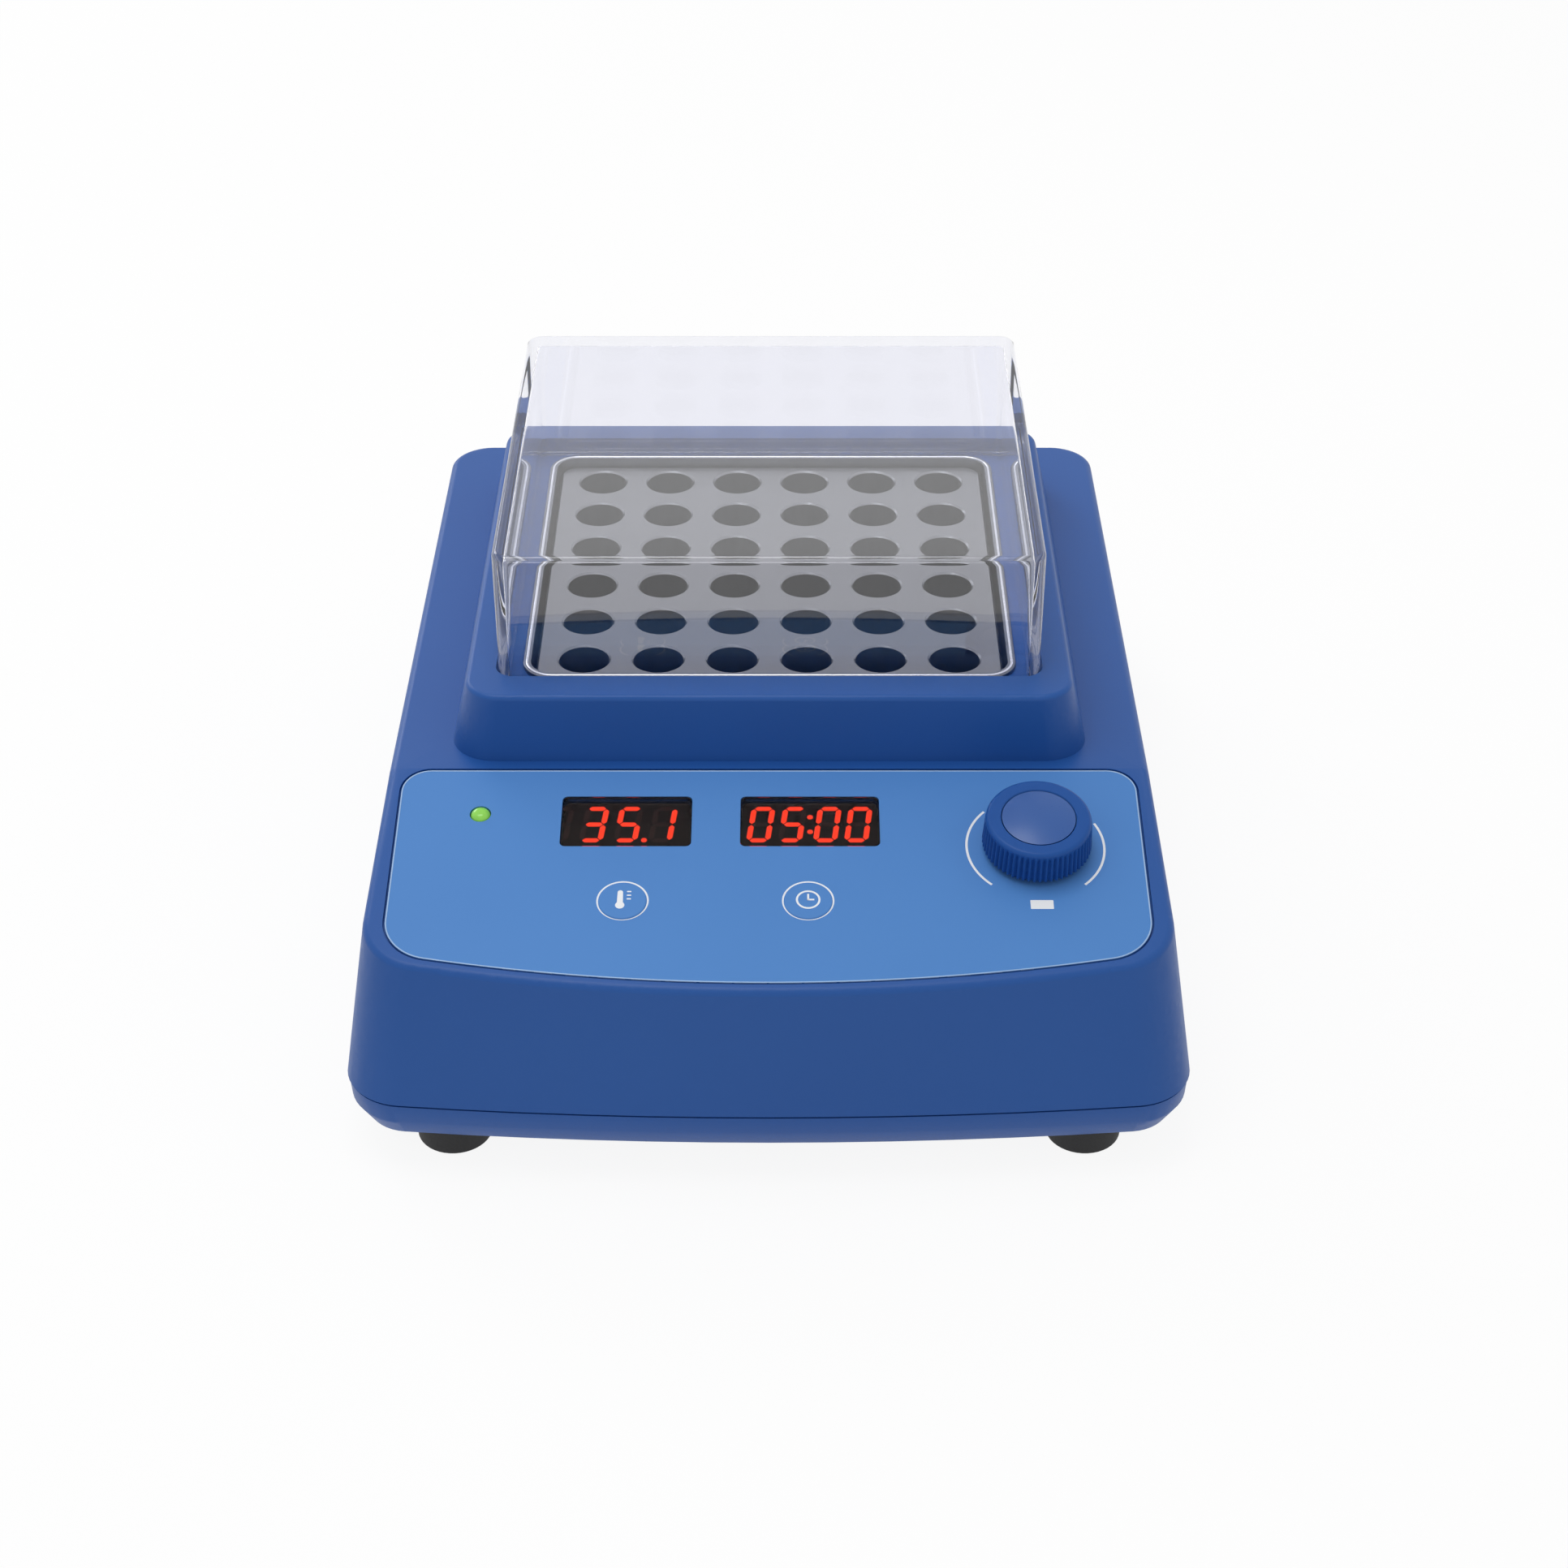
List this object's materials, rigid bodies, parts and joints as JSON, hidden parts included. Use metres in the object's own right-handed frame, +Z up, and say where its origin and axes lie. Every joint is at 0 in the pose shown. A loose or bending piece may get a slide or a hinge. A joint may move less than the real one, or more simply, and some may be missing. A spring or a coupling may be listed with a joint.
{
  "type": "dry bath incubator",
  "caption": "Bench-top dry bath with a sloping control panel, a heated aluminium tube block and a clear lift-off lid.",
  "frame": {"origin": "middle of the bounding box at the level the feet stand on", "axes": "+X to the right seen from the front, -Y to the front with the control panel, +Z up"},
  "size_m": [0.175, 0.218, 0.1045],
  "materials": {
    "case_blue": "satin",
    "base_grey": "satin",
    "foot_rubber": "matte",
    "screw_steel": "satin",
    "overlay_blue": "satin",
    "window_tint": "gloss",
    "display_black": "matte",
    "lamp_green": "gloss",
    "knob_blue": "satin",
    "turned_brass": "satin",
    "board_green": "satin",
    "block_aluminium": "satin",
    "rim_steel": "brushed",
    "mat_silicone": "matte",
    "insulation_white": "matte",
    "spacer_ceramic": "matte",
    "lid_clear": "gloss",
    "inlet_black": "satin",
    "fuse_glass": "gloss"
  },
  "bodies": {
    "case": {"upper_housing": "case_blue", "base_pan": "base_grey", "rubber_feet": "foot_rubber", "foot_screws": "screw_steel", "housing_screws": "screw_steel", "control_overlay": "overlay_blue", "temperature_window": "window_tint", "timer_window": "window_tint", "temperature_display": "display_black", "timer_display": "display_black", "indicator_lamp": "lamp_green", "lamp_spacer": "display_black", "temperature_switch": "display_black", "time_switch": "display_black", "encoder_body": "screw_steel", "encoder_nut": "turned_brass", "control_board": "board_green", "control_board_parts": "display_black", "control_board_screws": "screw_steel", "power_board": "board_green", "power_board_parts": "display_black", "power_board_screws": "screw_steel", "block_liner": "rim_steel", "heater_plate": "block_aluminium", "heater_mat": "mat_silicone", "lower_insulation": "insulation_white", "side_insulation": "insulation_white", "cradle_plate": "rim_steel", "cradle_screws": "screw_steel", "heater_screws": "screw_steel", "heater_spacers": "spacer_ceramic", "thermal_cutout": "display_black", "temperature_probe": "rim_steel", "earth_stud": "turned_brass", "power_inlet": "inlet_black", "inlet_pins": "turned_brass", "inlet_screws": "screw_steel", "switch_bezel": "inlet_black"},
    "lid": {"lid": "lid_clear"},
    "block": {"heating_block": "block_aluminium"},
    "temperature_key": {"temperature_key": "overlay_blue"},
    "time_key": {"time_key": "overlay_blue"},
    "encoder_plunger": {"encoder_plunger": "display_black"},
    "knob": {"control_knob": "knob_blue", "knob_cap": "knob_blue", "encoder_shaft": "turned_brass"},
    "rocker": {"power_rocker": "inlet_black"},
    "fuse_drawer": {"fuse_drawer": "inlet_black", "fuse": "fuse_glass"}
  },
  "joints": [
    {"name": "lid_lift", "type": "slide", "parent": "case", "child": "lid", "axis": [0, 0, 1], "range_m": [0, 0.15]},
    {"name": "block_lift", "type": "slide", "parent": "case", "child": "block", "axis": [0, 0, 1], "range_m": [0, 0.025]},
    {"name": "temperature_key_press", "type": "slide", "parent": "case", "child": "temperature_key", "axis": [0, 0.2079, -0.9781], "range_m": [0, 0.0004], "stiffness_N_per_m": 4000, "springref_m": -0.0001},
    {"name": "time_key_press", "type": "slide", "parent": "case", "child": "time_key", "axis": [0, 0.2079, -0.9781], "range_m": [0, 0.0004], "stiffness_N_per_m": 4000, "springref_m": -0.0001},
    {"name": "knob_press", "type": "slide", "parent": "case", "child": "encoder_plunger", "axis": [0, 0.2079, -0.9781], "range_m": [0, 0.0005], "stiffness_N_per_m": 6000, "springref_m": -0.0001},
    {"name": "knob_turn", "type": "hinge", "parent": "encoder_plunger", "child": "knob", "pos_m": [0.0556, -0.06761, 0.0556], "axis": [0, -0.2079, 0.9781], "continuous": true},
    {"name": "power_rock", "type": "hinge", "parent": "case", "child": "rocker", "pos_m": [0.027, 0.1026, 0.038], "axis": [1, 0, 0], "range_deg": [0, 20]},
    {"name": "fuse_drawer_slide", "type": "slide", "parent": "case", "child": "fuse_drawer", "axis": [0, 1, 0], "range_m": [0, 0.014]}
  ]
}
